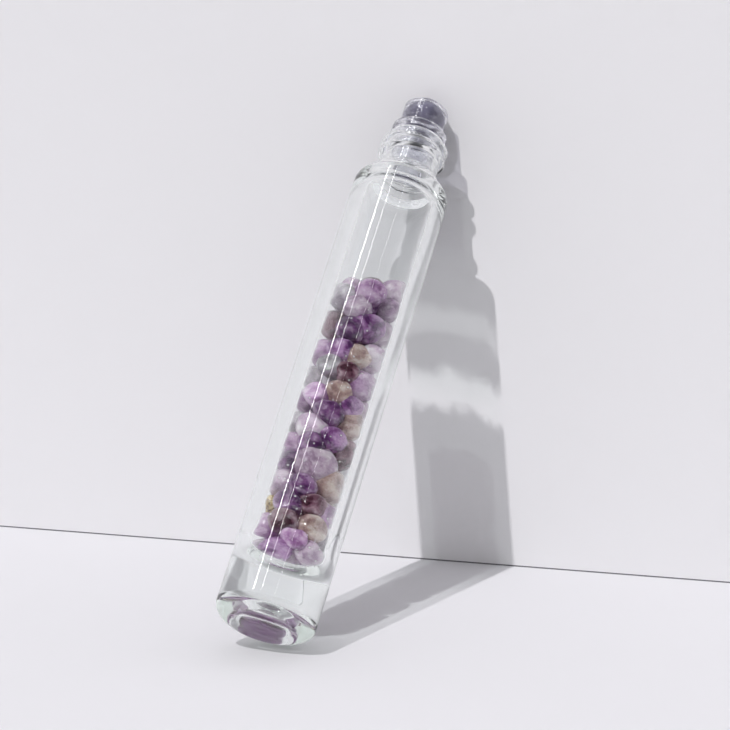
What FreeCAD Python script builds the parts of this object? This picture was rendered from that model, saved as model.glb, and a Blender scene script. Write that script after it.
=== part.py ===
import FreeCAD, Part
import math
import os
from collections import namedtuple

from FreeCAD import Placement, Rotation, Vector

# Roll-on bottle: a thick-walled glass tube with a threaded neck, a clear plastic
# roller housing plugged into the neck, a stone roller ball, and a charge of tumbled
# stone chips. Millimetres. The bottle stands upright on its base ring, +Z is its
# axis, the origin is the middle of the base ring, and -Y is the side that is seen.

# Glass body
body_diameter = 20.0
shoulder_height = 104.2
base_thickness = 9.5
bore_diameter = 14.0
shoulder_thickness = 2.0
heel_radius = 1.8
shoulder_corner_radius = 2.0
bore_floor_radius = 6.5
bore_top_radius = 3.0
punt_diameter = 10.4
punt_depth = 1.1

# Glass neck
neck_diameter = 12.0
neck_bore_diameter = 9.0
neck_height = 12.0
neck_foot_radius = 0.8
throat_radius = 3.0
lip_radius = 0.5
bead_above_shoulder = 2.4
bead_width = 1.9
bead_rise = 0.85

# Thread on the neck: one right-hand start that fades in and out
thread_diameter = 14.0
thread_pitch = 2.5
thread_foot_width = 1.9
thread_crest_width = 0.9
thread_root_depth = 0.35
thread_top_below_lip = 1.05
thread_turns = 1.9
thread_start_turn_share = 0.30
thread_fade_turns = 0.22
thread_steps_per_turn = 24
thread_crest_round_share = 0.35

# Roller ball
ball_diameter = 8.6
ball_clearance = 0.05
ball_centre_above_lip = 6.25

# Roller housing
housing_wall = 0.4
rim_above_ball_centre = 1.7
rim_radius = 0.3
flange_diameter = 11.8
flange_height = 2.2
flange_edge_radius = 0.35
plug_length = 8.0
plug_wall = 1.0
plug_clearance = 0.03
plug_lead_in = 0.6
seat_floor_thickness = 0.9
feed_hole_diameter = 3.2
seal_rib_rise = 0.25
seal_rib_width = 0.7
seal_rib_pitch = 1.2
seal_rib_count = 4
seal_rib_below_lip = 1.6

# Stone chips
fill_height = 70.0
chip_gap = 0.12
chip_wall_clearance = 0.1
chip_wall_overlap_share = 0.15
worn_flat_shares = (0.84, 0.78, 0.88)

# Chips that lie against the glass on the seen side, as shares chosen by hand:
# stone, turn from -Y towards +X, height in the charge, reach over bore radius.
front_chip_shares = (
    ("lilac", 0.012, 0.917, 0.36),
    ("pale", 0.180, 0.963, 0.34),
    ("lilac", 0.205, 0.908, 0.33),
    ("clear", -0.180, 0.893, 0.38),
    ("pale", -0.033, 0.852, 0.36),
    ("violet", 0.067, 0.807, 0.40),
    ("pale", 0.228, 0.823, 0.42),
    ("smoky", -0.180, 0.798, 0.40),
    ("violet", -0.040, 0.776, 0.36),
    ("violet", -0.052, 0.705, 0.36),
    ("beige", 0.047, 0.700, 0.32),
    ("pale", 0.180, 0.728, 0.38),
    ("lilac", -0.200, 0.703, 0.38),
    ("clear", -0.080, 0.645, 0.32),
    ("smoky", 0.020, 0.637, 0.28),
    ("clear", -0.180, 0.610, 0.36),
    ("lilac", 0.148, 0.625, 0.42),
    ("beige", 0.005, 0.567, 0.34),
    ("lilac", -0.210, 0.540, 0.34),
    ("lilac", -0.105, 0.550, 0.32),
    ("pale", 0.228, 0.560, 0.33),
    ("violet", 0.094, 0.540, 0.30),
    ("violet", -0.012, 0.497, 0.38),
    ("beige", 0.170, 0.500, 0.42),
    ("clear", -0.200, 0.458, 0.36),
    ("pale", -0.080, 0.442, 0.38),
    ("violet", 0.052, 0.422, 0.34),
    ("smoky", 0.210, 0.413, 0.42),
    ("lilac", -0.200, 0.390, 0.36),
    ("violet", -0.050, 0.388, 0.32),
    ("pale", 0.012, 0.335, 0.52),
    ("violet", -0.180, 0.335, 0.38),
    ("beige", 0.165, 0.295, 0.50),
    ("pale", -0.195, 0.262, 0.40),
    ("violet", -0.022, 0.252, 0.34),
    ("golden", -0.230, 0.200, 0.28),
    ("violet", -0.072, 0.192, 0.34),
    ("smoky", 0.060, 0.205, 0.32),
    ("lilac", 0.150, 0.198, 0.36),
    ("clear", 0.225, 0.135, 0.34),
    ("beige", 0.100, 0.140, 0.38),
    ("smoky", -0.065, 0.133, 0.36),
    ("lilac", -0.200, 0.122, 0.38),
    ("lilac", 0.012, 0.088, 0.30),
    ("pale", 0.150, 0.070, 0.42),
    ("violet", -0.070, 0.045, 0.36),
    ("clear", -0.200, 0.042, 0.30),
)

# The far side and the core of the charge follow a steady pattern.
rear_row_count = 15
rear_turn_shares = ((0.35, 0.50, 0.65), (0.42, 0.58))
rear_reach_share = 0.37
core_chip_count = 15
core_reach_share = 0.38
core_offset_share = 0.10
golden_turn_share = 0.382
rear_stones = ("violet", "lilac", "pale", "smoky", "lilac", "violet", "pale")
core_stones = ("smoky", "violet", "pale")

# Places worked out from the sizes above
body_radius = body_diameter / 2
bore_radius = bore_diameter / 2
neck_radius = neck_diameter / 2
neck_bore_radius = neck_bore_diameter / 2
ball_radius = ball_diameter / 2
seat_radius = ball_radius + ball_clearance
bore_bend_z = shoulder_height - shoulder_thickness - bore_top_radius
lip_z = shoulder_height + neck_height
ball_z = lip_z + ball_centre_above_lip
same_place = plug_clearance / 1000

Chip = namedtuple("Chip", "stone centre reach")
Flat = namedtuple("Flat", "foot normal")


def place(radius, height):
    """A point of a half section, on the +X side of the axis."""
    return Vector(radius, 0, height)


def bend(radius, height, rounding, first_angle, last_angle):
    """An arc round the point at radius and height, as three points."""
    points = []
    for turn in (first_angle, (first_angle + last_angle) / 2, last_angle):
        angle = math.radians(turn)
        points.append(place(radius + rounding * math.cos(angle), height + rounding * math.sin(angle)))
    return points


def quarter(radius, height, rounding, first_angle):
    """A quarter turn round the point at radius and height."""
    return bend(radius, height, rounding, first_angle, first_angle + 90)


def side_by_side(first, second, room):
    """Two roundings that share one step, eased where the step is too short for both."""
    easing = min(1, room / (first + second))
    return first * easing, second * easing


def outline(steps):
    """One closed wire from single corners and from arcs of three points."""
    edges = []
    last = steps[0]
    for step in steps[1:] + steps[:1]:
        start = step if isinstance(step, Vector) else step[0]
        if not start.isEqual(last, same_place):
            edges.append(Part.LineSegment(last, start).toShape())
        last = start
        if start is not step:
            edges.append(Part.Arc(*step).toShape())
            last = step[-1]
    return Part.Wire(edges)


def revolved(steps):
    return Part.Face(outline(steps)).revolve(Vector(), Vector(0, 0, 1), 360)


def glass_body():
    """The tube with its punt, thick base, bore, shoulder and plain neck."""
    punt_radius = punt_diameter / 2
    dome_radius = (punt_radius ** 2 + punt_depth ** 2) / (2 * punt_depth)
    half_way = punt_radius / 2
    dome_z = punt_depth - dome_radius + math.sqrt(dome_radius ** 2 - half_way ** 2)
    bead_z = shoulder_height + bead_above_shoulder
    outer_lip, inner_lip = side_by_side(lip_radius, lip_radius, neck_radius - neck_bore_radius)
    sweep = throat_radius + bore_top_radius
    lean = math.acos(min(1, max(0, 1 - (bore_radius - neck_bore_radius) / sweep)))
    throat_z = bore_bend_z + sweep * math.sin(lean)
    lean = math.degrees(lean)
    return revolved([
        place(0, punt_depth),
        [place(0, punt_depth), place(half_way, dome_z), place(punt_radius, 0)],
        quarter(body_radius - heel_radius, heel_radius, heel_radius, 270),
        quarter(body_radius - shoulder_corner_radius, shoulder_height - shoulder_corner_radius,
                shoulder_corner_radius, 0),
        quarter(neck_radius + neck_foot_radius, shoulder_height + neck_foot_radius,
                neck_foot_radius, 180)[::-1],
        [place(neck_radius, bead_z - bead_width / 2), place(neck_radius + bead_rise, bead_z),
         place(neck_radius, bead_z + bead_width / 2)],
        quarter(neck_radius - outer_lip, lip_z - outer_lip, outer_lip, 0),
        quarter(neck_bore_radius + inner_lip, lip_z - inner_lip, inner_lip, 90),
        bend(neck_bore_radius + throat_radius, throat_z, throat_radius, 180, 180 + lean),
        bend(bore_radius - bore_top_radius, bore_bend_z, bore_top_radius, lean, 0),
        quarter(bore_radius - bore_floor_radius, base_thickness + bore_floor_radius,
                bore_floor_radius, 270)[::-1],
        place(0, base_thickness),
    ])


def thread_section(turn):
    """The ridge's outline at one turn, sunk into the neck and lower near its ends."""
    near_end = min(turn, thread_turns - turn) / thread_fade_turns
    fade = math.sin(math.pi / 2 * min(1, near_end))
    foot = neck_radius - thread_root_depth
    full_rise = thread_diameter / 2 - neck_radius + thread_root_depth / 2
    crest = neck_radius - thread_root_depth / 2 + full_rise * fade
    flank_top = crest - (crest - foot) * thread_crest_round_share
    height = lip_z - thread_top_below_lip - thread_pitch * (thread_turns - turn)
    corners = [place(foot, height - thread_foot_width / 2),
               place(flank_top, height - thread_crest_width / 2),
               place(crest, height),
               place(flank_top, height + thread_crest_width / 2),
               place(foot, height + thread_foot_width / 2)]
    section = outline([corners[0], corners[1:4], corners[4]])
    section.rotate(Vector(), Vector(0, 0, 1), 360 * (thread_start_turn_share + turn))
    return section


def glass_bottle():
    step_count = round(thread_turns * thread_steps_per_turn)
    sections = [thread_section(thread_turns * step / step_count) for step in range(step_count + 1)]
    ridge = Part.makeLoft(sections, True, False)
    return glass_body().fuse(ridge)


def roller_housing():
    """The plug with its seal ribs, the flange on the lip, and the cup round the ball."""
    cup_radius = seat_radius + housing_wall
    rim_z = ball_z + rim_above_ball_centre
    rim_bore = math.sqrt(seat_radius ** 2 - rim_above_ball_centre ** 2)
    feed_radius = feed_hole_diameter / 2
    feed_top_z = ball_z - math.sqrt(seat_radius ** 2 - feed_radius ** 2)
    floor_z = ball_z - seat_radius - seat_floor_thickness
    flange_radius = flange_diameter / 2
    flange_top_z = lip_z + flange_height
    plug_radius = neck_bore_radius - plug_clearance - seal_rib_rise
    plug_bore = plug_radius - plug_wall
    plug_end_z = lip_z - plug_length
    lead_in = min(plug_lead_in, plug_wall / 2)
    steps = [place(plug_bore, plug_end_z), place(plug_radius - lead_in / 2, plug_end_z),
             place(plug_radius, plug_end_z + lead_in)]
    for rib in reversed(range(seal_rib_count)):
        rib_z = lip_z - seal_rib_below_lip - seal_rib_pitch * rib
        steps.append([place(plug_radius, rib_z - seal_rib_width / 2),
                      place(plug_radius + seal_rib_rise, rib_z),
                      place(plug_radius, rib_z + seal_rib_width / 2)])
    steps += [
        place(plug_radius, lip_z),
        quarter(flange_radius - flange_edge_radius, lip_z + flange_edge_radius,
                flange_edge_radius, 270),
        quarter(flange_radius - flange_edge_radius, flange_top_z - flange_edge_radius,
                flange_edge_radius, 0),
        place(cup_radius, flange_top_z),
        quarter(cup_radius - rim_radius, rim_z - rim_radius, rim_radius, 0),
        [place(rim_bore, rim_z), place(seat_radius, ball_z), place(feed_radius, feed_top_z)],
        place(feed_radius, floor_z),
        place(plug_bore, floor_z),
    ]
    return revolved(steps)


def roller_ball():
    return Part.makeSphere(ball_radius, place(0, ball_z))


def bore_reach(height):
    """How far the bore reaches from the axis at a height, less over its rounded floor."""
    below_bend = max(0, base_thickness + bore_floor_radius - height)
    return (bore_radius - bore_floor_radius
            + math.sqrt(max(0, bore_floor_radius ** 2 - below_bend ** 2)))


def wall_chip(stone, turn_share, height_share, reach_share):
    """A chip that leans on the bore's wall."""
    reach = reach_share * bore_radius
    height = base_thickness + height_share * fill_height
    out = bore_reach(height) - chip_wall_clearance - reach * (1 - chip_wall_overlap_share)
    angle = 2 * math.pi * turn_share
    return Chip(stone, Vector(out * math.sin(angle), -out * math.cos(angle), height), reach)


def rear_chips():
    chips = []
    for row in range(rear_row_count):
        height_share = (row + 0.5) / rear_row_count
        for turn_share in rear_turn_shares[row % 2]:
            stone = rear_stones[len(chips) % len(rear_stones)]
            chips.append(wall_chip(stone, turn_share, height_share, rear_reach_share))
    return chips


def core_chips():
    chips = []
    for row in range(core_chip_count):
        angle = 2 * math.pi * golden_turn_share * row
        offset = core_offset_share * bore_radius
        height = base_thickness + (row + 0.5) / core_chip_count * fill_height
        centre = Vector(offset * math.sin(angle), -offset * math.cos(angle), height)
        stone = core_stones[(core_chip_count - 1 - row) % len(core_stones)]
        chips.append(Chip(stone, centre, core_reach_share * bore_radius))
    return chips


def block_past(flat, size):
    """A block that holds everything past a flat's plane."""
    block = Part.makeBox(size, size, size, Vector(-size / 2, -size / 2, 0))
    block.Placement = Placement(flat.foot, Rotation(Vector(0, 0, 1), flat.normal))
    return block


def neighbour_flats(chip, chips):
    """Flats where the reach of a chip meets its neighbours' reach."""
    flats = []
    for other in chips:
        away = other.centre - chip.centre
        distance = away.Length
        if other is chip or distance > chip.reach + other.reach + chip_gap:
            continue
        halfway = (distance ** 2 + chip.reach ** 2 - other.reach ** 2) / (2 * distance)
        away.normalize()
        flats.append(Flat(chip.centre + away * (halfway - chip_gap / 2), away))
    return flats


def glass_flats(chip):
    """Flats that keep a chip off the bore's wall and floor."""
    outward = Vector(chip.centre.x, chip.centre.y, 0)
    out = outward.Length
    outward.normalize()
    clear_radius = bore_radius - chip_wall_clearance
    flat_radius = (clear_radius ** 2 - chip.reach ** 2 + out ** 2) / (2 * out)
    flats = []
    if flat_radius < out + chip.reach:
        flats.append(Flat(outward * flat_radius + place(0, chip.centre.z), outward))
    floor_z = base_thickness + chip_wall_clearance
    if chip.centre.z - chip.reach < floor_z:
        foot = Vector(chip.centre.x, chip.centre.y, floor_z)
        flats.append(Flat(foot, Vector(0, 0, -1)))
    return flats


def worn_flats(chip, number):
    """A few flats that make each chip's outline its own."""
    flats = []
    for index, share in enumerate(worn_flat_shares):
        lift = 1 - 2 * ((number * golden_turn_share + index / len(worn_flat_shares)) % 1)
        turn = 2 * math.pi * golden_turn_share * (number + index * len(worn_flat_shares))
        level = math.sqrt(1 - lift ** 2)
        normal = Vector(level * math.cos(turn), level * math.sin(turn), lift)
        flats.append(Flat(chip.centre + normal * (chip.reach * share), normal))
    return flats


def chip_solid(chip, number, chips, floor_space):
    """A round pebble cut flat where it meets its neighbours, the wall and the floor."""
    flats = neighbour_flats(chip, chips) + glass_flats(chip) + worn_flats(chip, number)
    deepest = min(flats, key=lambda flat: flat.foot.distanceToPoint(chip.centre))
    pebble = Part.makeSphere(chip.reach)
    pebble.Placement = Placement(chip.centre, Rotation(Vector(0, 0, 1), deepest.normal))
    pebble = pebble.cut([block_past(flat, 4 * chip.reach) for flat in flats])
    if chip.centre.z - chip.reach < base_thickness + bore_floor_radius:
        pebble = pebble.common(floor_space)
    return pebble.Solids[0]


def bore_floor_space():
    """The rounded bottom of the bore, drawn in by the chips' clearance."""
    clear_radius = bore_radius - chip_wall_clearance
    floor_z = base_thickness + chip_wall_clearance
    corner = bore_floor_radius - chip_wall_clearance
    top_z = base_thickness + bore_floor_radius + bore_diameter
    return revolved([
        place(0, floor_z),
        quarter(clear_radius - corner, floor_z + corner, corner, 270),
        place(clear_radius, top_z),
        place(0, top_z),
    ])


def charge():
    """Every chip node by name: one chip each in front, groups by stone behind."""
    front = [wall_chip(*shares) for shares in front_chip_shares]
    rear = rear_chips()
    core = core_chips()
    chips = front + rear + core
    floor_space = bore_floor_space()
    nodes = {}
    counts = {}
    for number, chip in enumerate(chips):
        solid = chip_solid(chip, number, chips, floor_space)
        if number < len(front):
            counts[chip.stone] = counts.get(chip.stone, 0) + 1
            name = f"{chip.stone}_chip_{counts[chip.stone]:02d}"
        elif number < len(front) + len(rear):
            name = f"rear_{chip.stone}_chips"
        else:
            name = f"core_{chip.stone}_chips"
        nodes.setdefault(name, []).append(solid)
    return nodes


def write(name, solids):
    shape = solids[0] if len(solids) == 1 else Part.makeCompound(solids)
    shape.exportStep(f"parts/{name}.step")
    volume = sum(solid.Volume for solid in solids)
    print(f"{name}: {len(solids)} solid, {volume:.1f} mm3, valid {shape.isValid()}")


os.makedirs("parts", exist_ok=True)
write("glass_bottle", glass_bottle().Solids)
write("roller_housing", roller_housing().Solids)
write("roller_ball", roller_ball().Solids)
for node_name, chip_solids in charge().items():
    write(node_name, chip_solids)
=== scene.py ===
"""Looks of a clear glass roll-on bottle that holds tumbled stone chips under a stone ball."""

import logging
import math
from dataclasses import dataclass, field
from enum import Enum

import bmesh
import bpy
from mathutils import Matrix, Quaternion, Vector


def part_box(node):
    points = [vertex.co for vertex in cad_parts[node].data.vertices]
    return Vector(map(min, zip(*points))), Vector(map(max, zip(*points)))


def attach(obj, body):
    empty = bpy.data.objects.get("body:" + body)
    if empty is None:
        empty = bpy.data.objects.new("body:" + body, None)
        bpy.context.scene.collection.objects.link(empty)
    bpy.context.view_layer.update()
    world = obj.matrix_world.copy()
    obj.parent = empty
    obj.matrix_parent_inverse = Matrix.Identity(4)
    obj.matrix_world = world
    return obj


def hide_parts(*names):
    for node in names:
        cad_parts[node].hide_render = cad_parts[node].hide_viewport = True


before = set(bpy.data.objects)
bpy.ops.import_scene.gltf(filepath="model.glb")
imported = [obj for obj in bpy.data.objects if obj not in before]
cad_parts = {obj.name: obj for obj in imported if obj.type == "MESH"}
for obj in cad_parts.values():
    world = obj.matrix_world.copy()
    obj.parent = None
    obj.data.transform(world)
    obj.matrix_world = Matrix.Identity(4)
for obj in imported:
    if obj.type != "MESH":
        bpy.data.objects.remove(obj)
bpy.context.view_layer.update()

Tree, Node, Socket = bpy.types.NodeTree, bpy.types.Node, bpy.types.NodeSocket
Piece, Mesh, Finish = bpy.types.Object, bpy.types.Mesh, bpy.types.Material
Span, Band = tuple[float, float], tuple[float, float, float]

LOG = logging.getLogger("roll_on_bottle")
MM = 0.001
# Past these numbers of bounces (off matt faces, off mirrors, in all) light passes clear walls.
MOST_SCATTERED, MOST_MIRRORED, MOST_CROSSED = 0.5, 2.5, 8.5
# A wall is an inner one where its normal points back at the axis by this many millimetres.
INWARD_MARGIN = 1.5
# A bright band's waves and their height in millimetres, and how much narrower its core is.
BAND_WAVE, BAND_DRIFT, BAND_NARROWING = 4.0, 2.0, 3
WHITE = "#ffffff"


class Tone(Enum):
    """How light one chip is beside the others of its stone."""

    DEEP = 0.72
    MID = 1.0
    LIGHT = 1.22


def linear(hex_colour: str) -> tuple[float, float, float, float]:
    """Turns an sRGB hex colour into linear light.

    Args:
        hex_colour: the colour as "#rrggbb".

    Returns:
        Red, green, blue and an alpha of 1.
    """
    channels = [int(hex_colour[start:start + 2], 16) / 255 for start in (1, 3, 5)]
    lights = [c / 12.92 if c <= 0.04045 else ((c + 0.055) / 1.055) ** 2.4 for c in channels]
    return (*lights, 1.0)


def add_node(tree: Tree, kind: str, inputs: dict | None = None, **settings) -> Node:
    """Adds one node with its settings, its socket values and its links.

    Args:
        tree: the shader or geometry tree.
        kind: the node's type name.
        inputs: a value, an output socket or a node for each input, by name or number.
            A node stands for its first output that is in use.
        settings: the node's own properties.

    Returns:
        The new node.
    """
    node = tree.nodes.new(kind)
    for name, value in settings.items():
        setattr(node, name, value)
    for key, value in (inputs or {}).items():
        if isinstance(value, Node):
            value = next(socket for socket in value.outputs if socket.enabled)
        if isinstance(value, Socket):
            tree.links.new(value, node.inputs[key])
        else:
            node.inputs[key].default_value = value
    return node


def calculate(tree: Tree, values: dict, steps: tuple, kind: str = "ShaderNodeMath") -> dict:
    """Adds a chain of nodes that each do one operation, one for each step.

    Args:
        tree: the shader or geometry tree.
        values: the nodes, sockets and numbers that the steps start from, by name.
        steps: rows of a result's name, an operation and its operands.
        kind: the nodes' type name.

    Returns:
        The values with each step's node added.
    """
    values = dict(values)
    for result, operation, *operands in steps:
        inputs = {place: values.get(operand, operand) for place, operand in enumerate(operands)}
        values[result] = add_node(tree, kind, inputs, operation=operation)
    return values


@dataclass
class Profile:
    """Half section of a turned piece, as points of radius and height in millimetres.

    Args:
        row: the longest straight step between two points.
        turn: the angle between two points of an arc, in degrees.
    """

    row: float = 0.8
    turn: float = 9.0
    points: list = field(default_factory=list)

    def line(self, radius: float, height: float) -> "Profile":
        """Runs straight from the last point to a place, in equal steps.

        Args:
            radius: the place's distance from the axis.
            height: the place's height.

        Returns:
            The profile itself.
        """
        if not self.points:
            self.points.append((radius, height))
            return self
        last_radius, last_height = self.points[-1]
        length = math.hypot(radius - last_radius, height - last_height)
        count = math.ceil(length / self.row)
        for step in range(1, count + 1):
            share = step / count
            self.points.append((last_radius + (radius - last_radius) * share,
                                last_height + (height - last_height) * share))
        return self

    def arc(self, radius: float, height: float, rounding: float,
            first: float, last: float) -> "Profile":
        """Runs straight to an arc's start and then round it.

        Args:
            radius: the arc centre's distance from the axis.
            height: the arc centre's height.
            rounding: the arc's radius.
            first: the angle of its start, in degrees from straight outwards.
            last: the angle of its end.

        Returns:
            The profile itself.
        """
        count = math.ceil(abs(last - first) / self.turn)
        angles = [math.radians(first + (last - first) * step / count) for step in range(count + 1)]
        places = [(radius + rounding * math.cos(angle), height + rounding * math.sin(angle))
                  for angle in angles]
        if not self.points or math.dist(self.points[-1], places[0]) > MM:
            self.line(*places[0])
        self.points += places[1:]
        return self

    def corner(self, radius: float, height: float, rounding: float,
               first: float, last: float) -> "Profile":
        """Runs straight to a rounded corner and then round it.

        Args:
            radius: the sharp corner's distance from the axis.
            height: its height.
            rounding: the arc's radius.
            first: the angle of the arc's start, in degrees from straight outwards.
            last: the angle of its end.

        Returns:
            The profile itself.
        """
        middle = math.radians((first + last) / 2)
        return self.arc(radius - math.copysign(rounding, math.cos(middle)),
                        height - math.copysign(rounding, math.sin(middle)), rounding, first, last)

    def bulge(self, radius: float, height: float, width: float, rise: float) -> "Profile":
        """Runs straight to a shallow arc that stands proud of a wall, and over it.

        Args:
            radius: the wall's radius.
            height: the height of the arc's middle.
            width: how much of the wall the arc covers, negative where the profile runs down.
            rise: how far its middle stands out.

        Returns:
            The profile itself.
        """
        rounding = (width ** 2 / 4 + rise ** 2) / (2 * rise)
        half = math.degrees(math.asin(abs(width) / 2 / rounding))
        if rise > abs(width) / 2:
            half = 180 - half
        side = math.copysign(half, width)
        return self.arc(radius + rise - rounding, height, rounding, -side, side)


def written(work: bmesh.types.BMesh, name: str) -> Mesh:
    """Turns a finished edit mesh into a mesh with a name."""
    mesh = bpy.data.meshes.new(name)
    work.to_mesh(mesh)
    work.free()
    return mesh


def turned(name: str, profile: Profile, segments: int) -> Mesh:
    """Turns a profile round the Z axis.

    Args:
        name: the mesh's name.
        profile: points that go up outside, where they go round a solid.
        segments: how many faces go round.

    Returns:
        A closed mesh in metres, with outward faces. A profile whose ends aren't on the
        axis is closed from its last point to its first.
    """
    work = bmesh.new()
    rings = []
    for radius, height in profile.points:
        if radius < MM:
            rings.append([work.verts.new((0, 0, height * MM))] * segments)
            continue
        angles = [math.tau * step / segments for step in range(segments)]
        rings.append([work.verts.new((radius * MM * math.cos(angle), radius * MM * math.sin(angle),
                                      height * MM)) for angle in angles])
    pairs = list(zip(rings, rings[1:]))
    if profile.points[0][0] > MM:
        pairs.append((rings[-1], rings[0]))
    for lower, upper in pairs:
        for step in range(segments):
            after = (step + 1) % segments
            corners = (lower[step], lower[after], upper[after], upper[step])
            work.faces.new(dict.fromkeys(corners))
    return written(work, name)


def shaded(mesh: Mesh, crease: float) -> Mesh:
    """Shades a mesh smooth, apart from edges that turn by more than an angle in degrees."""
    mesh.shade_smooth()
    mesh.set_sharp_from_angle(angle=math.radians(crease))
    return mesh


def new_object(data: bpy.types.ID) -> Piece:
    """Puts a mesh, a lamp or a camera into the scene as an object at the origin."""
    thing = bpy.data.objects.new(data.name, data)
    bpy.context.scene.collection.objects.link(thing)
    return thing


def baked(thing: Piece, name: str) -> Mesh:
    """Works out an object's modifiers as a plain mesh, and deletes the object.

    Args:
        thing: the object with its live modifiers.
        name: the new mesh's name.

    Returns:
        The plain mesh.
    """
    bpy.context.view_layer.update()
    evaluated = thing.evaluated_get(bpy.context.evaluated_depsgraph_get())
    mesh = bpy.data.meshes.new_from_object(evaluated)
    mesh.name = name
    old = thing.data
    bpy.data.objects.remove(thing)
    bpy.data.meshes.remove(old)
    return mesh


@dataclass
class SurfaceRule:
    """A Geometry Nodes tree that moves a surface by a rule and gives it its material.

    Args:
        name: the tree's name.
        sizes: the tree's number inputs, by name.
    """

    name: str
    sizes: dict[str, float]

    def start(self) -> tuple[Tree, Node]:
        """Makes the tree with its named inputs.

        Returns:
            The tree and its Group Input node.
        """
        tree = bpy.data.node_groups.new(self.name, "GeometryNodeTree")
        tree.interface.new_socket("Geometry", in_out="INPUT", socket_type="NodeSocketGeometry")
        for size in self.sizes:
            tree.interface.new_socket(size, in_out="INPUT", socket_type="NodeSocketFloat")
        tree.interface.new_socket("Finish", in_out="INPUT", socket_type="NodeSocketMaterial")
        tree.interface.new_socket("Geometry", in_out="OUTPUT", socket_type="NodeSocketGeometry")
        return tree, add_node(tree, "NodeGroupInput")

    @staticmethod
    def from_axis(tree: Tree, place: Node) -> tuple[Node, dict[str, Node | Socket]]:
        """Splits a place into its parts.

        Args:
            tree: the tree.
            place: the node that gives the place.

        Returns:
            The place flattened onto the ground, and its x, y, z and reach from the axis.
        """
        split = add_node(tree, "ShaderNodeSeparateXYZ", {0: place})
        parts = {axis.lower(): split.outputs[axis] for axis in "XYZ"}
        flat = add_node(tree, "ShaderNodeCombineXYZ", {"X": parts["x"], "Y": parts["y"]})
        reach = add_node(tree, "ShaderNodeVectorMath", {0: flat}, operation="LENGTH")
        return flat, parts | {"reach": reach}

    @staticmethod
    def end(tree: Tree, source: Node, move: dict[str, Node]) -> Tree:
        """Moves the points, and ends the tree in plain geometry with its material.

        Args:
            tree: the tree.
            source: its Group Input node.
            move: each point's Offset or new Position.

        Returns:
            The finished tree.
        """
        moved = add_node(tree, "GeometryNodeSetPosition",
                         {"Geometry": source.outputs["Geometry"], **move})
        real = add_node(tree, "GeometryNodeRealizeInstances", {"Geometry": moved})
        finished = add_node(tree, "GeometryNodeSetMaterial",
                            {"Geometry": real, "Material": source.outputs["Finish"]})
        add_node(tree, "NodeGroupOutput", {"Geometry": finished})
        return tree

    def put_on(self, thing: Piece, tree: Tree, finish: Finish, **changes: float) -> None:
        """Adds the tree to an object as a modifier and fills in its inputs.

        Args:
            thing: the object.
            tree: the tree that this rule made.
            finish: the material of the result.
            changes: inputs whose value isn't the rule's own, by name with _ for spaces.
        """
        modifier = thing.modifiers.new(self.name, "NODES")
        modifier.node_group = tree
        values = self.sizes | {name.replace("_", " "): value for name, value in changes.items()}
        for socket in tree.interface.items_tree:
            if socket.in_out == "INPUT" and socket.name in values:
                modifier[socket.identifier] = float(values[socket.name])
            elif socket.in_out == "INPUT" and socket.name == "Finish":
                modifier[socket.identifier] = finish


class ThreadRule(SurfaceRule):
    """Raises a right-hand thread on a turned neck."""

    def tree(self) -> Tree:
        """Makes the tree: each point finds the ridge's nearest turn and rises beside it."""
        tree, source = self.start()
        place = add_node(tree, "GeometryNodeInputPosition")
        flat, values = self.from_axis(tree, place)
        values |= {socket.name: socket for socket in source.outputs}
        values = calculate(tree, values, (
            ("angle", "ARCTAN2", "y", "x"),
            ("around", "DIVIDE", "angle", math.tau),
            ("past start", "SUBTRACT", "around", "Start Turn"),
            ("first turn", "FRACT", "past start"),
            ("whole climb", "MULTIPLY", "Pitch", "Turns"),
            ("start height", "SUBTRACT", "Top Height", "whole climb"),
            ("first climb", "MULTIPLY", "first turn", "Pitch"),
            ("first height", "ADD", "start height", "first climb"),
            ("above first", "SUBTRACT", "z", "first height"),
            ("turns above", "DIVIDE", "above first", "Pitch"),
            ("nearest turn", "ROUND", "turns above"),
            ("turns left", "SUBTRACT", "Turns", "first turn"),
            ("last turn", "FLOOR", "turns left"),
            ("not past end", "MINIMUM", "nearest turn", "last turn"),
            ("turns passed", "MAXIMUM", "not past end", 0),
            ("turn", "ADD", "first turn", "turns passed"),
            ("climb", "MULTIPLY", "turns passed", "Pitch"),
            ("off ridge", "SUBTRACT", "above first", "climb"),
            ("distance", "ABSOLUTE", "off ridge"),
            ("to end", "SUBTRACT", "Turns", "turn"),
            ("near end", "MINIMUM", "turn", "to end"),
            ("fading", "DIVIDE", "near end", "Fade Turns"),
            ("not faded", "MINIMUM", "fading", 1),
            ("quarter turn", "MULTIPLY", "not faded", math.pi / 2),
            ("fade", "SINE", "quarter turn"),
            ("half crest", "DIVIDE", "Crest Width", 2),
            ("half foot", "DIVIDE", "Foot Width", 2),
        ))
        ridge = add_node(tree, "ShaderNodeMapRange", {
            "Value": values["distance"], "From Min": values["half crest"],
            "From Max": values["half foot"], "To Min": 1, "To Max": 0},
            interpolation_type="SMOOTHSTEP")
        outside = add_node(tree, "ShaderNodeMapRange", {
            "Value": values["reach"], "From Min": values["Inner Radius"],
            "From Max": values["Neck Radius"]})
        values = calculate(tree, values | {"ridge": ridge, "outside": outside}, (
            ("faded ridge", "MULTIPLY", "ridge", "fade"),
            ("outer ridge", "MULTIPLY", "faded ridge", "outside"),
            ("lift", "MULTIPLY", "outer ridge", "Rise"),
        ))
        away = add_node(tree, "ShaderNodeVectorMath", {0: flat}, operation="NORMALIZE")
        offset = add_node(tree, "ShaderNodeVectorMath",
                          {0: away, "Scale": values["lift"]}, operation="SCALE")
        return self.end(tree, source, {"Offset": offset})


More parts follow.
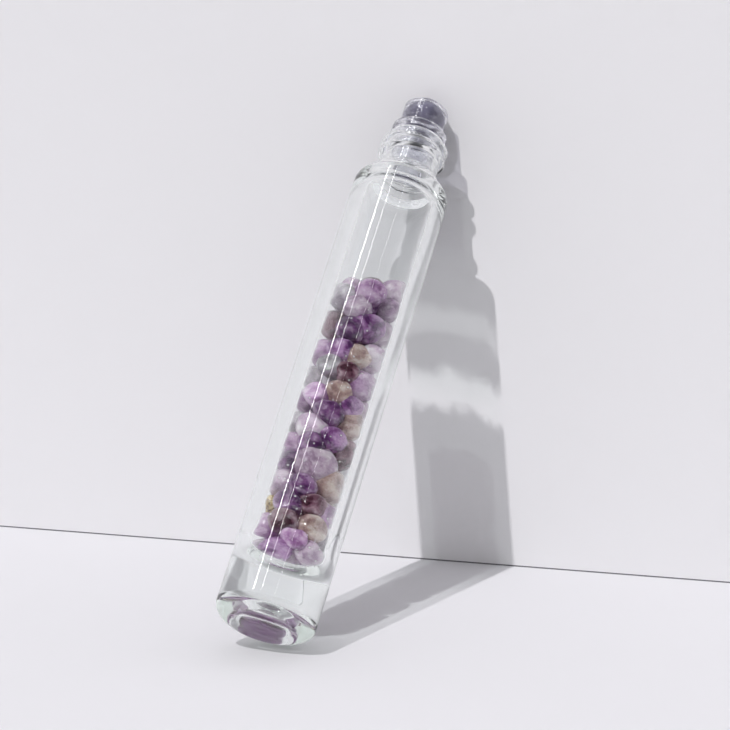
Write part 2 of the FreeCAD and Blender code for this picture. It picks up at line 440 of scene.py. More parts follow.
@dataclass
class TumbledRule(SurfaceRule):
    """Swells a stone into soft lumps with shallow hollows, as far as the bore lets it.

    Args:
        easing: how gently the bore is neared, in millimetres.
        blending: how softly one hollow passes into the next.
    """

    easing: float = 0.4
    blending: float = 0.25

    def tree(self) -> Tree:
        """Makes the tree: noise for lumps, cells for hollows, and the bore as the limit."""
        tree, source = self.start()
        sizes = {socket.name: socket for socket in source.outputs}
        values = calculate(tree, sizes, (
            ("lump scale", "DIVIDE", 1, "Lump Size"),
            ("hollow scale", "DIVIDE", 1, "Hollow Size"),
        ))
        lumps = add_node(tree, "ShaderNodeTexNoise", {
            "Scale": values["lump scale"], "W": sizes["Seed"], "Detail": 1}, noise_dimensions="4D")
        hollows = add_node(tree, "ShaderNodeTexVoronoi", {
            "Scale": values["hollow scale"], "W": sizes["Seed"], "Smoothness": self.blending},
            voronoi_dimensions="4D", feature="SMOOTH_F1")
        values = calculate(tree, values | {"lump": lumps, "cell": hollows}, (
            ("even lump", "SUBTRACT", "lump", 0.5),
            ("lump rise", "MULTIPLY", "even lump", "Lump Depth"),
            ("middle", "SUBTRACT", 1, "cell"),
            ("in hollow", "MAXIMUM", "middle", 0),
            ("hollow wear", "MULTIPLY", "in hollow", "Hollow Depth"),
            ("swollen", "ADD", "Swell", "lump rise"),
            ("outwards", "SUBTRACT", "swollen", "hollow wear"),
        ))
        place = add_node(tree, "GeometryNodeInputPosition")
        normal = add_node(tree, "GeometryNodeInputNormal")
        offset = add_node(tree, "ShaderNodeVectorMath",
                          {0: normal, "Scale": values["outwards"]}, operation="SCALE")
        grown = add_node(tree, "ShaderNodeVectorMath", {0: place, 1: offset})
        values = calculate(tree, values | self.from_axis(tree, grown)[1], (
            ("height", "MAXIMUM", "z", "Bore Floor"),
            ("corner top", "ADD", "Bore Floor", "Floor Rounding"),
            ("into corner", "SUBTRACT", "corner top", "height"),
            ("depth", "MAXIMUM", "into corner", 0),
            ("depth squared", "MULTIPLY", "depth", "depth"),
            ("rounding squared", "MULTIPLY", "Floor Rounding", "Floor Rounding"),
            ("room squared", "SUBTRACT", "rounding squared", "depth squared"),
            ("not below nothing", "MAXIMUM", "room squared", 0),
            ("room", "SQRT", "not below nothing"),
            ("narrowest", "SUBTRACT", "Bore Radius", "Floor Rounding"),
            ("limit", "ADD", "narrowest", "room"),
            ("soft reach", "SMOOTH_MIN", "reach", "limit", self.easing * MM),
            ("kept", "MINIMUM", "soft reach", "limit"),
            ("share", "DIVIDE", "kept", "reach"),
            ("kept x", "MULTIPLY", "x", "share"),
            ("kept y", "MULTIPLY", "y", "share"),
        ))
        kept = add_node(tree, "ShaderNodeCombineXYZ", {
            "X": values["kept x"], "Y": values["kept y"], "Z": values["height"]})
        return self.end(tree, source, {"Position": kept})


def gathered(tree: Tree, place: Node, bands: tuple[Band, ...]) -> Node:
    """Draws uneven rings where a wall gathers lamp light into bright bands.

    Args:
        tree: the material's tree.
        place: its Texture Coordinate node.
        bands: the height and half width of each band in millimetres, and its share of light.

    Returns:
        A node that gives 0 to 1.
    """
    split = add_node(tree, "ShaderNodeSeparateXYZ", {0: place.outputs["Object"]})
    uneven = add_node(tree, "ShaderNodeTexNoise", {
        "Vector": place.outputs["Object"], "Scale": 1 / (BAND_WAVE * MM), "Detail": 3})
    drift = add_node(tree, "ShaderNodeMapRange", {
        "Value": uneven, "To Min": -BAND_DRIFT * MM, "To Max": BAND_DRIFT * MM})
    values = {"z": split.outputs["Z"], "drift": drift, "total": 0}
    for middle, half_width, share in bands:
        values = calculate(tree, values, (
            ("height", "ADD", "z", "drift"),
            ("past", "SUBTRACT", "height", middle * MM),
            ("away", "ABSOLUTE", "past"),
        ))
        values["band"] = add_node(tree, "ShaderNodeMapRange", {
            "Value": values["away"], "From Min": half_width * MM / BAND_NARROWING,
            "From Max": half_width * MM, "To Min": share, "To Max": 0},
            interpolation_type="SMOOTHSTEP")
        values = calculate(tree, values, (("total", "MAXIMUM", "total", "band"),))
    return values["total"]


def let_light_through(tree: Tree, surface: Node, entering: str, leaving: str,
                      bands: tuple[Band, ...] = ()) -> Node:
    """Lets lamp light straight through a clear shader, and frees light that is trapped in it.

    A lamp's light loses most where a ray to the lamp enters a turned piece from outside,
    because curved walls scatter what crosses the whole piece but not what lights its contents.

    Args:
        tree: the material's tree.
        surface: the clear shader.
        entering: hex colour of what an outer wall lets through on the way in.
        leaving: hex colour of what a wall lets through otherwise.
        bands: rings that lose no light, as gathered() takes them.

    Returns:
        The last Mix Shader node.
    """
    path = add_node(tree, "ShaderNodeLightPath")
    place = add_node(tree, "ShaderNodeTexCoord")
    side = add_node(tree, "ShaderNodeNewGeometry")
    values = {"place": place.outputs["Object"], "normal": side.outputs["Normal"],
              "behind": side.outputs["Backfacing"], "shadow": path.outputs["Is Shadow Ray"],
              "scattered": path.outputs["Diffuse Depth"], "mirrored": path.outputs["Glossy Depth"],
              "crossed": path.outputs["Ray Depth"]}
    values = calculate(tree, values, (
        ("flat", "MULTIPLY", "place", (1, 1, 0)),
        ("across", "DOT_PRODUCT", "normal", "flat"),
    ), "ShaderNodeVectorMath")
    values = calculate(tree, values, (
        ("inwards", "LESS_THAN", "across", -INWARD_MARGIN * MM),
        ("kept", "MAXIMUM", "inwards", "behind"),
        ("from matt", "GREATER_THAN", "scattered", MOST_SCATTERED),
        ("straight", "MAXIMUM", "shadow", "from matt"),
        ("mirrored often", "GREATER_THAN", "mirrored", MOST_MIRRORED),
        ("crossed often", "GREATER_THAN", "crossed", MOST_CROSSED),
        ("trapped", "MAXIMUM", "mirrored often", "crossed often"),
    ))
    bright = gathered(tree, place, bands) if bands else 0
    lost = add_node(tree, "ShaderNodeMix", {
        0: values["kept"], 6: linear(entering), 7: linear(leaving)}, data_type="RGBA")
    tint = add_node(tree, "ShaderNodeMix", {0: bright, 6: lost, 7: linear(WHITE)},
                    data_type="RGBA")
    passing = add_node(tree, "ShaderNodeBsdfTransparent", {"Color": tint})
    lit = add_node(tree, "ShaderNodeMixShader", {0: values["straight"], 1: surface, 2: passing})
    freed = add_node(tree, "ShaderNodeBsdfTransparent")
    return add_node(tree, "ShaderNodeMixShader", {0: values["trapped"], 1: lit, 2: freed})


def new_material(name: str) -> tuple[Finish, Tree]:
    """Makes an empty node material.

    Args:
        name: the material's name.

    Returns:
        The material and its tree.
    """
    material = bpy.data.materials.new(name)
    material.use_nodes = True
    material.node_tree.nodes.clear()
    return material, material.node_tree


@dataclass(frozen=True)
class FlintGlass:
    """Clear soda-lime glass, drawn as tube and moulded at the neck: smooth, faintly wavy."""

    name: str = "drawn_flint_glass"
    colour: str = "#fdfefe"
    tint: str = "#d3ead9"
    tint_per_metre: float = 9.0
    index: float = 1.52
    wave_length: float = 7.0
    wave_height: float = 0.002
    entering: str = "#6d706f"
    leaving: str = "#f6f8f7"
    bright_bands: tuple[Band, ...] = ((87.0, 3.6, 1.0), (96.6, 2.8, 0.4), (26.0, 38.0, 0.5))

    def material(self) -> Finish:
        """Builds the glass with slow waves, a green tint by depth and clear shadows."""
        material, tree = new_material(self.name)
        place = add_node(tree, "ShaderNodeTexCoord")
        waves = add_node(tree, "ShaderNodeTexNoise", {
            "Vector": place.outputs["Object"], "Scale": 1 / (self.wave_length * MM), "Detail": 1})
        bump = add_node(tree, "ShaderNodeBump", {
            "Height": waves, "Distance": self.wave_height * MM, "Strength": 1})
        glass = add_node(tree, "ShaderNodeBsdfPrincipled", {
            "Base Color": linear(self.colour), "Roughness": 0, "IOR": self.index,
            "Transmission Weight": 1, "Normal": bump})
        surface = let_light_through(tree, glass, self.entering, self.leaving, self.bright_bands)
        depth = add_node(tree, "ShaderNodeVolumeAbsorption", {
            "Color": linear(self.tint), "Density": self.tint_per_metre})
        add_node(tree, "ShaderNodeOutputMaterial", {
            "Surface": surface, "Volume": depth})
        return material


@dataclass(frozen=True)
class HousingPlastic:
    """Injection-moulded clear polypropylene: glossy, with a slight milky haze."""

    name: str = "moulded_clear_polypropylene"
    colour: str = "#f1f1f6"
    index: float = 1.49
    haze_length: float = 1.6
    clearness: float = 0.965
    roughness: Span = (0.05, 0.16)
    entering: str = "#aaaab0"
    leaving: str = "#ececf0"

    def material(self) -> Finish:
        """Builds the plastic with patchy haze in its roughness."""
        material, tree = new_material(self.name)
        place = add_node(tree, "ShaderNodeTexCoord")
        haze = add_node(tree, "ShaderNodeTexNoise", {
            "Vector": place.outputs["Object"], "Scale": 1 / (self.haze_length * MM), "Detail": 2})
        rough = add_node(tree, "ShaderNodeMapRange", {
            "Value": haze, "To Min": self.roughness[0], "To Max": self.roughness[1]})
        plastic = add_node(tree, "ShaderNodeBsdfPrincipled", {
            "Base Color": linear(self.colour), "Roughness": rough, "IOR": self.index,
            "Transmission Weight": self.clearness})
        surface = let_light_through(tree, plastic, self.entering, self.leaving)
        add_node(tree, "ShaderNodeOutputMaterial", {"Surface": surface})
        return material


@dataclass(frozen=True)
class TumbledStone:
    """Quartz chips worn smooth in a tumbler: glossy, cloudy inside, with colour in zones.

    Colours are hex, lengths are in millimetres, and a range lies in the noise's 0 to 1.

    Args:
        name: the material's name.
        deep: the colour of its darkest zones.
        middle: the colour of most of it.
        pale: the colour of its lightest zones.
        veil: the colour of the cloudy veils inside.
        veil_share: how much the veils cover.
        clearness: how much light passes as through glass, outside the veils.
        passed_share: how much lamp light each of its surfaces lets straight through.
        zone: length of a colour zone.
        glow: how far light spreads inside.
        roughness: how blurred its gloss is.
        uneven: by which share that changes from place to place.
        soft_edges: how often its edges are smoothed.
        grain: how strongly its crystal grain shows.
        swell: how far it fills the room round its solid.
        fleck: size of a crystal. Real grain is too fine to show, so this is coarser.
        fleck_depth: how deep the wear leaves it.
        painted_glint_pitch: how far apart the painted glints are: small white dots painted into
            the colour in place of sun glints on its polished skin.
        painted_glint: a painted glint's inner and outer radius, as shares of the pitch.
        painted_glint_rim: the same for the dark halo painted round each glint.
        painted_rim_share: how strongly that painted halo shows.
        stops: where in the noise the three colours lie.
        zone_swirl: how far the zones are stirred.
        veils_per_zone: how many veils lie across a zone.
        veil_swirl: how far the veils are stirred.
        veil_range: where a veil thickens.
        fleck_range: where the grain brightens.
        glow_share: how much light spreads inside.
        glow_reach: how far red, green and blue spread, in shares of the glow.
        gloss: how blurred the polished skin is.
        index: the refractive index of quartz.
    """

    name: str
    deep: str
    middle: str
    pale: str
    veil: str = "#efe8f0"
    veil_share: float = 0.35
    clearness: float = 0.33
    passed_share: float = 0.4
    zone: float = 2.6
    glow: float = 0.5
    roughness: float = 0.1
    uneven: float = 0.5
    soft_edges: int = 2
    grain: float = 0.15
    swell: float = 0.42
    fleck: float = 0.4
    fleck_depth: float = 0.03
    # Painted glints: white dots with a dark halo, painted into the stone's colour in place of sun
    # glints on its polished skin.
    painted_glint_pitch: float = 1.7
    painted_glint: Span = (0.1, 0.13)
    painted_glint_rim: Span = (0.16, 0.22)
    painted_rim_share: float = 0.7
    stops: tuple[float, float, float] = (0.38, 0.50, 0.62)
    zone_swirl: float = 0.4
    veils_per_zone: float = 2.0
    veil_swirl: float = 0.3
    veil_range: Span = (0.50, 0.72)
    fleck_range: Span = (0.35, 0.65)
    glow_share: float = 0.35
    glow_reach: tuple[float, float, float] = (1.0, 0.75, 1.1)
    gloss: float = 0.02
    index: float = 1.544

    def material(self, seed: float, tone: float) -> Finish:
        """Builds the stone for one piece.

        Args:
            seed: moves the pattern, so that no two pieces look alike.
            tone: how light this piece is beside others of its stone.

        Returns:
            The material.
        """
        material, tree = new_material(f"{self.name}_{round(seed):02d}")
        place = add_node(tree, "ShaderNodeTexCoord")
        moved = add_node(tree, "ShaderNodeMapping", {
            "Vector": place.outputs["Object"], "Location": (seed * MM, -seed * MM, 0)})
        zones, veils, flecks = (add_node(tree, "ShaderNodeTexNoise", {
            "Vector": moved, "Scale": 1 / (length * MM), "Detail": detail, "Distortion": swirl})
            for length, detail, swirl in (
                (self.zone, 3, self.zone_swirl),
                (self.zone / self.veils_per_zone, 4, self.veil_swirl),
                (self.fleck, 2, 0)))
        ramp = add_node(tree, "ShaderNodeValToRGB", {0: zones})
        steps = list(zip(self.stops, (self.deep, self.middle, self.pale)))
        while len(ramp.color_ramp.elements) < len(steps):
            ramp.color_ramp.elements.new(1)
        for element, (position, colour) in zip(ramp.color_ramp.elements, steps):
            element.position = position
            element.color = [min(tone * light, 1) for light in linear(colour)[:3]] + [1]
        # Cells for the painted glints: each white dot and its dark halo is a painted highlight, not
        # an inclusion.
        glint_cells = add_node(tree, "ShaderNodeTexVoronoi", {
            "Vector": moved, "Scale": 1 / (self.painted_glint_pitch * MM)})
        cloud = add_node(tree, "ShaderNodeMapRange", {
            "Value": veils, "From Min": self.veil_range[0], "From Max": self.veil_range[1],
            "To Max": self.veil_share}, interpolation_type="SMOOTHSTEP")
        smooth, rough = self.roughness * (1 - self.uneven), self.roughness * (1 + self.uneven)
        # rim is the painted dark halo round each glint, and glint the painted white highlight dot.
        grain, rim, glint, clear, blur = (add_node(tree, "ShaderNodeMapRange", {
            "Value": source, "From Min": start, "From Max": end, "To Min": first, "To Max": last})
            for source, start, end, first, last in (
                (flecks, *self.fleck_range, 0, 1),
                (glint_cells, *self.painted_glint_rim, self.painted_rim_share, 0),
                (glint_cells, *self.painted_glint, 1, 0),
                (cloud, 0, 1, self.clearness, 0),
                (flecks, 0, 1, smooth, rough)))
        colour = ramp
        # The last two layers paint light: the dark halo and the white highlight dot of each painted
        # glint.
        for share, layer, blending in ((cloud, linear(self.veil), "MIX"),
                                       (self.grain, grain, "OVERLAY"),
                                       (rim, linear(self.deep), "MIX"),
                                       (glint, linear(WHITE), "MIX")):
            colour = add_node(tree, "ShaderNodeMix", {0: share, 6: colour, 7: layer},
                              data_type="RGBA", blend_type=blending)
        worn = add_node(tree, "ShaderNodeBump", {
            "Height": flecks, "Distance": self.fleck_depth * MM, "Strength": 1})
        stone = add_node(tree, "ShaderNodeBsdfPrincipled", {
            "Base Color": colour, "Roughness": blur, "IOR": self.index,
            "Subsurface Weight": self.glow_share, "Subsurface Radius": self.glow_reach,
            "Subsurface Scale": self.glow * MM, "Transmission Weight": clear,
            "Coat Weight": 1, "Coat Roughness": self.gloss, "Coat Normal": worn, "Normal": worn})
        path = add_node(tree, "ShaderNodeLightPath")
        passed = add_node(tree, "ShaderNodeMath", {
            0: path.outputs["Is Shadow Ray"], 1: self.passed_share}, operation="MULTIPLY")
        passing = add_node(tree, "ShaderNodeBsdfTransparent")
        surface = add_node(tree, "ShaderNodeMixShader", {0: passed, 1: stone, 2: passing})
        add_node(tree, "ShaderNodeOutputMaterial", {"Surface": surface})
        return material


class StoneKind(Enum):
    """The stones of the charge."""

    VIOLET = TumbledStone("tumbled_violet_amethyst", "#5e2f68", "#985f9f", "#c598cb",
                          veil="#ecdfee", veil_share=0.3)
    LILAC = TumbledStone("tumbled_lilac_amethyst", "#966899", "#c298c5", "#e2c5e3", veil="#f5ebf4")
    PALE = TumbledStone("tumbled_pale_quartz", "#b79ab7", "#d9c2d8", "#eedfec",
                        veil="#f8f2f7", veil_share=0.4, clearness=0.38)
    CLEAR = TumbledStone("tumbled_clear_quartz", "#b6aeb8", "#dcd6de", "#f4f0f5",
                         veil_share=0.3, clearness=0.7)
    SMOKY = TumbledStone("tumbled_smoky_quartz", "#522a3a", "#8e6275", "#bf9dab", veil_share=0.2)
    BEIGE = TumbledStone("tumbled_stained_quartz", "#a98886", "#ccb1ab", "#e6d5ce",
                         veil="#f3e7e3", veil_share=0.3)
    GOLDEN = TumbledStone("crystalline_golden_chip", "#4a3216", "#a08045", "#e3cf9a",
                          veil="#f6ecc8", veil_share=0.5, clearness=0.0, zone=0.7,
                          roughness=0.2, swell=0.15)
    BALL = TumbledStone("polished_violet_grey_stone", "#514c68", "#605b75", "#77728c",
                        veil="#a09bb2", veil_share=0.25, clearness=0.1, zone=5.0, glow=1.4,
                        roughness=0.08, grain=0.1)


@dataclass
class GlassBottle:
    """The glass: a thick tube with a punt, a heavy base, a shoulder and a threaded neck.

    Args:
        radius: the body's outer radius, from the frame.
        lip: the lip's height, from the frame.
    """

    radius: float
    lip: float
    neck_height: float = 12.0
    base: float = 9.5
    bore: float = 7.0
    shoulder_wall: float = 2.0
    heel_rounding: float = 1.8
    shoulder_rounding: float = 2.0
    floor_rounding: float = 6.5
    ceiling_rounding: float = 3.0
    punt: float = 5.2
    punt_depth: float = 1.1
    neck: float = 6.0
    neck_bore: float = 4.5
    foot_rounding: float = 0.8
    throat_rounding: float = 3.0
    lip_rounding: float = 0.5
    bead_above_shoulder: float = 2.4
    bead_width: float = 1.9
    bead_rise: float = 0.85
    thread_rise: float = 1.0
    pitch: float = 2.5
    turns: float = 1.9
    start_turn: float = 0.30
    fade_turns: float = 0.22
    thread_below_lip: float = 1.05
    crest_width: float = 0.5
    foot_width: float = 1.9
    punt_turn: float = 3.0
    neck_row: float = 0.09
    crease: float = 50.0
    segments: int = 224

    def profile(self) -> Profile:
        """Draws the half section, from the punt up the outside and down the bore."""
        shoulder = self.lip - self.neck_height
        ceiling = shoulder - self.shoulder_wall
        dome = (self.punt ** 2 + self.punt_depth ** 2) / (2 * self.punt_depth)
        dome_angle = math.degrees(math.asin(self.punt / dome))
        inner_lip = min(self.lip_rounding, self.neck - self.neck_bore - self.lip_rounding)
        section = Profile(turn=self.punt_turn)
        section.arc(0, self.punt_depth - dome, dome, 90, 90 - dome_angle)
        section.turn = Profile.turn
        section.corner(self.radius, 0, self.heel_rounding, 270, 360)
        section.corner(self.radius, shoulder, self.shoulder_rounding, 0, 90)
        section.corner(self.neck, shoulder, self.foot_rounding, 270, 180)
        section.bulge(self.neck, shoulder + self.bead_above_shoulder,
                      self.bead_width, self.bead_rise)
        section.row = self.neck_row
        section.corner(self.neck, self.lip, self.lip_rounding, 0, 90)
        section.row = Profile.row
        section.corner(self.neck_bore, self.lip, inner_lip, 90, 180)
        sweep = self.throat_rounding + self.ceiling_rounding
        lean = math.acos(min(1.0, max(0.0, 1 - (self.bore - self.neck_bore) / sweep)))
        bore_top = ceiling - self.ceiling_rounding
        section.arc(self.neck_bore + self.throat_rounding, bore_top + sweep * math.sin(lean),
                    self.throat_rounding, 180, 180 + math.degrees(lean))
        section.arc(self.bore - self.ceiling_rounding, bore_top, self.ceiling_rounding,
                    math.degrees(lean), 0)
        section.corner(self.bore, self.base, self.floor_rounding, 360, 270)
        return section.line(0, self.base)

    def build(self) -> Piece:
        """Turns the glass and raises its thread.

        Returns:
            The bottle as one piece on its body.
        """
        rule = ThreadRule("neck_thread", {
            "Pitch": self.pitch * MM, "Turns": self.turns, "Start Turn": self.start_turn,
            "Top Height": (self.lip - self.thread_below_lip) * MM, "Fade Turns": self.fade_turns,
            "Crest Width": self.crest_width * MM, "Foot Width": self.foot_width * MM,
            "Rise": self.thread_rise * MM, "Neck Radius": self.neck * MM,
            "Inner Radius": (self.neck - self.lip_rounding) * MM})
        blank = new_object(turned("bottle_blank", self.profile(), self.segments))
        rule.put_on(blank, rule.tree(), FlintGlass().material())
        bottle = new_object(shaded(baked(blank, "clear_glass_bottle"), self.crease))
        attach(bottle, "bottle")
        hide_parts("glass_bottle")
        return bottle


@dataclass
class RollerHousing:
    """The clear plastic plug with its seal ribs, its flange and the cup that holds the ball.

    Args:
        lip: the height of the lip that the flange sits on.
        ball_centre: the ball's height.
        ball_radius: the ball's radius.
    """

    lip: float
    ball_centre: float
    ball_radius: float
    clearance: float = 0.05
    wall: float = 0.4
    rim_above_centre: float = 1.7
    rim_rounding: float = 0.3
    flange: float = 5.9
    flange_height: float = 2.2
    flange_rounding: float = 0.35
    plug: float = 4.22
    plug_bore: float = 3.22
    plug_length: float = 8.0
    lead_in: float = 0.5
    floor: float = 0.9
    feed_hole: float = 1.6
    rib_rise: float = 0.25
    rib_width: float = 0.7
    rib_pitch: float = 1.2
    rib_count: int = 4
    first_rib_below_lip: float = 1.6
    row: float = 0.5
    seat_turn: float = 4.0
    crease: float = 35.0
    segments: int = 160

    def profile(self) -> Profile:
        """Draws the half section, from the plug's end up the outside and down the seat."""
        seat = self.ball_radius + self.clearance
        cup = seat + self.wall
        rim = self.ball_centre + self.rim_above_centre
        end = self.lip - self.plug_length
        flange_top = self.lip + self.flange_height
        rim_angle = math.degrees(math.asin(self.rim_above_centre / seat))
        feed_angle = math.degrees(math.acos(self.feed_hole / seat))
        section = Profile(row=self.row)
        section.line(self.plug_bore, end).line(self.plug - self.lead_in / 2, end)
        section.line(self.plug, end + self.lead_in)
        for rib in reversed(range(self.rib_count)):
            height = self.lip - self.first_rib_below_lip - self.rib_pitch * rib
            section.bulge(self.plug, height, self.rib_width, self.rib_rise)
        section.line(self.plug, self.lip)
        section.corner(self.flange, self.lip, self.flange_rounding, 270, 360)
        section.corner(self.flange, flange_top, self.flange_rounding, 0, 90)
        section.line(cup, flange_top)
        section.corner(cup, rim, self.rim_rounding, 0, 90)
        section.turn = self.seat_turn
        section.arc(0, self.ball_centre, seat, rim_angle, -feed_angle)
        seat_floor = self.ball_centre - seat - self.floor
        return section.line(self.feed_hole, seat_floor).line(self.plug_bore, seat_floor)

    def build(self) -> Piece:
        """Turns the housing.

        Returns:
            The housing as one piece on its body.
        """
        mesh = shaded(turned("clear_roller_housing", self.profile(), self.segments), self.crease)
        mesh.materials.append(HousingPlastic().material())
        housing = new_object(mesh)
        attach(housing, "fitment")
        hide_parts("roller_housing")
        return housing


@dataclass
class RollerBall:
    """The polished stone ball, an even net of squares so that it has no poles.

    Args:
        centre: the ball's height.
        radius: its radius.
    """

    centre: float
    radius: float
    cuts: int = 40

    def build(self) -> Piece:
        """Blows a divided cube up into the ball.

        Returns:
            The ball as one piece on its body.
        """
        work = bmesh.new()
        bmesh.ops.create_cube(work, size=2)
        bmesh.ops.subdivide_edges(work, edges=work.edges, cuts=self.cuts, use_grid_fill=True)
        middle = Vector((0, 0, self.centre * MM))
        for vertex in work.verts:
            even = Vector(math.tan(share * math.pi / 4) for share in vertex.co)
            vertex.co = middle + even.normalized() * (self.radius * MM)
        bmesh.ops.recalc_face_normals(work, faces=work.faces)
        mesh = written(work, "polished_stone_ball")
        mesh.shade_smooth()
        mesh.materials.append(StoneKind.BALL.value.material(0, Tone.MID.value))
        ball = new_object(mesh)
        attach(ball, "ball")
        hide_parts("roller_ball")
        return ball


@dataclass
class StoneCharge:
    """The tumbled chips, each worn from the solid that holds its place.

    Args:
        nodes: the frame's chip objects by name.
        bore: the bore's radius.
        bore_floor: the height of its floor.
        floor_rounding: the radius of its lower corner.
    """

    nodes: dict[str, Piece]
    bore: float
    bore_floor: float
    floor_rounding: float
    clearance: float = 0.08
    front_voxel: float = 0.13
    rear_voxel: float = 0.2
    lump_size: float = 2.8
    lump_depth: float = 0.9
    hollow_size: float = 1.8
    hollow_depth: float = 0.05
    softening: float = 0.5
    seeds_per_node: int = 20
    deep_chips: tuple[str, ...] = (
        "violet_chip_02", "violet_chip_05", "violet_chip_07", "violet_chip_08", "violet_chip_09",
        "violet_chip_10", "smoky_chip_01", "smoky_chip_05", "lilac_chip_02")
    light_chips: tuple[str, ...] = (
        "pale_chip_04", "pale_chip_06", "pale_chip_09", "lilac_chip_06", "lilac_chip_10")

    @staticmethod
    def kind(name: str) -> StoneKind:
        """The stone that a node's name gives."""
        return next(kind for kind in StoneKind if kind.name.lower() in name.split("_"))

    def tone(self, name: str) -> Tone:
        """How light a node's chips are."""
        return (Tone.DEEP if name in self.deep_chips else
                Tone.LIGHT if name in self.light_chips else Tone.MID)

    @staticmethod
    def solids(source: Piece) -> list[Mesh]:
        """Copies a node's solids, each as a closed mesh of its own.

        Args:
            source: the node's object, which stays as it is.

        Returns:
            One mesh for each solid.
        """
        whole = bmesh.new()
        whole.from_mesh(source.data)
        bmesh.ops.remove_doubles(whole, verts=whole.verts, dist=MM * MM)
        left = set(whole.verts)
        meshes = []
        while left:
            island = {left.pop()}
            edge_of = set(island)
            while edge_of:
                edge_of = {link.other_vert(vertex) for vertex in edge_of
                           for link in vertex.link_edges} - island
                island |= edge_of
            left -= island
            part = whole.copy()
            numbers = {vertex.index for vertex in island}
            part.verts.ensure_lookup_table()
            bmesh.ops.delete(part, geom=[v for v in part.verts if v.index not in numbers],
                             context="VERTS")
            meshes.append(written(part, source.name))
        whole.free()
        return sorted(meshes, key=lambda mesh: mesh.vertices[0].co.z)

    def worn(self, name: str, solid: Mesh, rule: TumbledRule, tree: Tree,
             finish: Finish, stone: TumbledStone, seed: float) -> Mesh:
        """Wears one solid into a tumbled chip.

        Args:
            name: the piece's name.
            solid: the closed mesh that it is made from.
            rule: the rule that shapes it.
            tree: the rule's tree.
            finish: its material.
            stone: its kind of stone.
            seed: what makes its shape its own.

        Returns:
            The chip's mesh.
        """
        rough = new_object(solid)
        voxels = rough.modifiers.new("voxels", "REMESH")
        voxels.mode = "VOXEL"
        voxels.voxel_size = (self.rear_voxel if name.startswith(("rear", "core")) else
                             self.front_voxel) * MM
        soft = rough.modifiers.new("soft_edges", "SMOOTH")
        soft.factor = self.softening
        soft.iterations = stone.soft_edges
        rule.put_on(rough, tree, finish, Seed=seed, Swell=stone.swell * MM)
        return baked(rough, name)

    def build(self) -> list[Piece]:
        """Wears every chip.

        Returns:
            One piece for each chip node, on the charge's body.
        """
        rule = TumbledRule("tumbled_wear", {
            "Swell": 0, "Lump Size": self.lump_size * MM, "Lump Depth": self.lump_depth * MM,
            "Hollow Size": self.hollow_size * MM, "Hollow Depth": self.hollow_depth * MM, "Seed": 0,
            "Bore Radius": (self.bore - self.clearance) * MM,
            "Bore Floor": (self.bore_floor + self.clearance) * MM,
            "Floor Rounding": (self.floor_rounding - self.clearance) * MM})
        tree = rule.tree()
        pieces = []
        for number, (name, source) in enumerate(sorted(self.nodes.items())):
            kind = self.kind(name)
            finish = kind.value.material(number, self.tone(name).value)
            work = bmesh.new()
            for place, solid in enumerate(self.solids(source)):
                seed = number + place / self.seeds_per_node
                chip = self.worn(name, solid, rule, tree, finish, kind.value, seed)
                work.from_mesh(chip)
                bpy.data.meshes.remove(chip)
            mesh = written(work, f"worn_{name}")
            mesh.shade_smooth()
            mesh.materials.append(finish)
            piece = new_object(mesh)
            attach(piece, "charge")
            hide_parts(name)
            pieces.append(piece)
        return pieces


